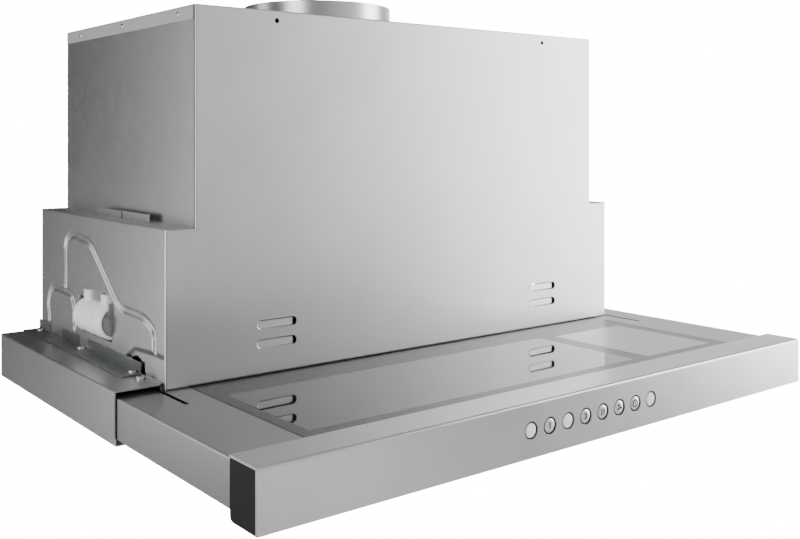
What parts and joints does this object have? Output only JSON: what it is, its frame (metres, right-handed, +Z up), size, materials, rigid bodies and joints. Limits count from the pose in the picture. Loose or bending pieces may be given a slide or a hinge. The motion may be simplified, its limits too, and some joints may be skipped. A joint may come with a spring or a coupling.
{
  "type": "under cabinet range hood",
  "caption": "Built-in range hood with a stepped casing, a round duct collar and a pull-out screen behind a full-width handle bar with push buttons.",
  "frame": {"origin": "middle of the footprint of the hood with its screen pulled out, on the plane of the handle bar's lower face", "axes": "+X along the handle bar to the right of a person who faces the hood, +Y back to the wall, +Z up along the duct"},
  "size_m": [0.598, 0.494, 0.3773],
  "materials": {
    "painted_steel": "satin",
    "galvanised_steel": "satin",
    "rail_steel": "satin",
    "collar_metal": "satin",
    "flap_plastic": "matte",
    "fan_plastic": "matte",
    "bright_steel": "satin",
    "motor_iron": "matte",
    "white_plastic": "satin",
    "lamp_lens": "satin",
    "black_plastic": "satin",
    "filter_frame_metal": "satin",
    "filter_mesh_metal": "satin",
    "catch_plastic": "satin",
    "silver_steel": "satin",
    "pane_glass": "gloss",
    "bar_steel": "satin",
    "board": "satin",
    "button_metal": "satin"
  },
  "bodies": {
    "casing": {"casing_front": "painted_steel", "casing_back": "galvanised_steel", "side_panel_left": "galvanised_steel", "side_panel_right": "galvanised_steel", "duct_sides": "galvanised_steel", "shoulders": "galvanised_steel", "top_cover": "galvanised_steel", "base_plate": "galvanised_steel", "duct_collar": "collar_metal", "flap_bridge": "flap_plastic", "scroll_housing": "galvanised_steel", "motor": "motor_iron", "motor_bracket": "galvanised_steel", "control_box": "white_plastic", "mains_inlet": "black_plastic", "underframe": "galvanised_steel", "wing_left": "galvanised_steel", "wing_right": "galvanised_steel", "rail_brackets": "rail_steel", "screws": "bright_steel", "latch_pins": "bright_steel", "latch_springs": "bright_steel", "slide_outers": "galvanised_steel", "lamp_housings": "white_plastic", "lamp_lenses": "lamp_lens", "travel_switch": "black_plastic"},
    "screen": {"tray_frame": "silver_steel", "glass_carrier": "silver_steel", "glass_pane": "pane_glass", "cover_plate": "silver_steel", "handle_bar": "bar_steel", "end_cap_left": "black_plastic", "end_cap_right": "black_plastic", "button_rings": "black_plastic", "control_board": "board", "slide_inners": "rail_steel", "screen_filter_frame": "filter_frame_metal", "screen_filter_mesh": "filter_mesh_metal"},
    "slide_left": {"slide_mid_left": "rail_steel"},
    "slide_right": {"slide_mid_right": "rail_steel"},
    "front_flap": {"flap_front": "flap_plastic"},
    "back_flap": {"flap_back": "flap_plastic"},
    "fan": {"impeller": "fan_plastic", "motor_shaft": "bright_steel"},
    "left_latch": {"latch_left": "white_plastic"},
    "right_latch": {"latch_right": "white_plastic"},
    "left_filter": {"filter_frame_left": "filter_frame_metal", "filter_mesh_left": "filter_mesh_metal"},
    "right_filter": {"filter_frame_right": "filter_frame_metal", "filter_mesh_right": "filter_mesh_metal"},
    "left_catch": {"filter_catch_left": "catch_plastic"},
    "right_catch": {"filter_catch_right": "catch_plastic"},
    "push_1": {"button_1": "button_metal"},
    "push_2": {"button_2": "button_metal"},
    "push_3": {"button_3": "button_metal"},
    "push_4": {"button_4": "button_metal"},
    "push_5": {"button_5": "button_metal"},
    "push_6": {"button_6": "button_metal"},
    "push_7": {"button_7": "button_metal"},
    "push_8": {"button_8": "button_metal"}
  },
  "joints": [
    {"name": "screen_slide", "type": "slide", "parent": "casing", "child": "screen", "axis": [0, -1, 0], "range_m": [-0.172, 0]},
    {"name": "slide_left_slide", "type": "slide", "parent": "casing", "child": "slide_left", "axis": [0, -1, 0], "range_m": [-0.086, 0]},
    {"name": "slide_right_slide", "type": "slide", "parent": "casing", "child": "slide_right", "axis": [0, -1, 0], "range_m": [-0.086, 0]},
    {"name": "front_flap_hinge", "type": "hinge", "parent": "casing", "child": "front_flap", "pos_m": [-0.025, 0.0958, 0.3468], "axis": [-1, 0, 0], "range_deg": [0, 75]},
    {"name": "back_flap_hinge", "type": "hinge", "parent": "casing", "child": "back_flap", "pos_m": [-0.025, 0.1058, 0.3468], "axis": [1, 0, 0], "range_deg": [0, 75]},
    {"name": "fan_spin", "type": "hinge", "parent": "casing", "child": "fan", "pos_m": [-0.025, 0.0708, 0.1448], "axis": [1, 0, 0], "continuous": true},
    {"name": "left_latch_hinge", "type": "hinge", "parent": "casing", "child": "left_latch", "pos_m": [-0.2545, 0.0978, 0.0973], "axis": [0, -1, 0], "range_deg": [0, 35], "stiffness_Nm_per_rad": 0.15, "springref_deg": -22.92},
    {"name": "right_latch_hinge", "type": "hinge", "parent": "casing", "child": "right_latch", "pos_m": [0.2545, 0.0978, 0.0973], "axis": [0, 1, 0], "range_deg": [0, 35], "stiffness_Nm_per_rad": 0.15, "springref_deg": -22.92},
    {"name": "left_filter_hinge", "type": "hinge", "parent": "casing", "child": "left_filter", "pos_m": [-0.1345, 0.2268, 0.007], "axis": [1, 0, 0], "range_deg": [0, 80]},
    {"name": "left_catch_slide", "type": "slide", "parent": "left_filter", "child": "left_catch", "axis": [0, 1, 0], "range_m": [0, 0.004], "stiffness_N_per_m": 150, "springref_m": -0.006},
    {"name": "right_filter_hinge", "type": "hinge", "parent": "casing", "child": "right_filter", "pos_m": [0.1345, 0.2268, 0.007], "axis": [1, 0, 0], "range_deg": [0, 80]},
    {"name": "right_catch_slide", "type": "slide", "parent": "right_filter", "child": "right_catch", "axis": [0, 1, 0], "range_m": [0, 0.004], "stiffness_N_per_m": 150, "springref_m": -0.006},
    {"name": "button_1_press", "type": "slide", "parent": "screen", "child": "push_1", "axis": [0, 1, 0], "range_m": [0, 0.0015], "stiffness_N_per_m": 250, "springref_m": -0.002},
    {"name": "button_2_press", "type": "slide", "parent": "screen", "child": "push_2", "axis": [0, 1, 0], "range_m": [0, 0.0015], "stiffness_N_per_m": 250, "springref_m": -0.002},
    {"name": "button_3_press", "type": "slide", "parent": "screen", "child": "push_3", "axis": [0, 1, 0], "range_m": [0, 0.0015], "stiffness_N_per_m": 250, "springref_m": -0.002},
    {"name": "button_4_press", "type": "slide", "parent": "screen", "child": "push_4", "axis": [0, 1, 0], "range_m": [0, 0.0015], "stiffness_N_per_m": 250, "springref_m": -0.002},
    {"name": "button_5_press", "type": "slide", "parent": "screen", "child": "push_5", "axis": [0, 1, 0], "range_m": [0, 0.0015], "stiffness_N_per_m": 250, "springref_m": -0.002},
    {"name": "button_6_press", "type": "slide", "parent": "screen", "child": "push_6", "axis": [0, 1, 0], "range_m": [0, 0.0015], "stiffness_N_per_m": 250, "springref_m": -0.002},
    {"name": "button_7_press", "type": "slide", "parent": "screen", "child": "push_7", "axis": [0, 1, 0], "range_m": [0, 0.0015], "stiffness_N_per_m": 250, "springref_m": -0.002},
    {"name": "button_8_press", "type": "slide", "parent": "screen", "child": "push_8", "axis": [0, 1, 0], "range_m": [0, 0.0015], "stiffness_N_per_m": 250, "springref_m": -0.002}
  ],
  "couplings": [
    {"joint": "slide_left_slide", "follows": "screen_slide", "ratio": 0.5},
    {"joint": "slide_right_slide", "follows": "screen_slide", "ratio": 0.5}
  ]
}
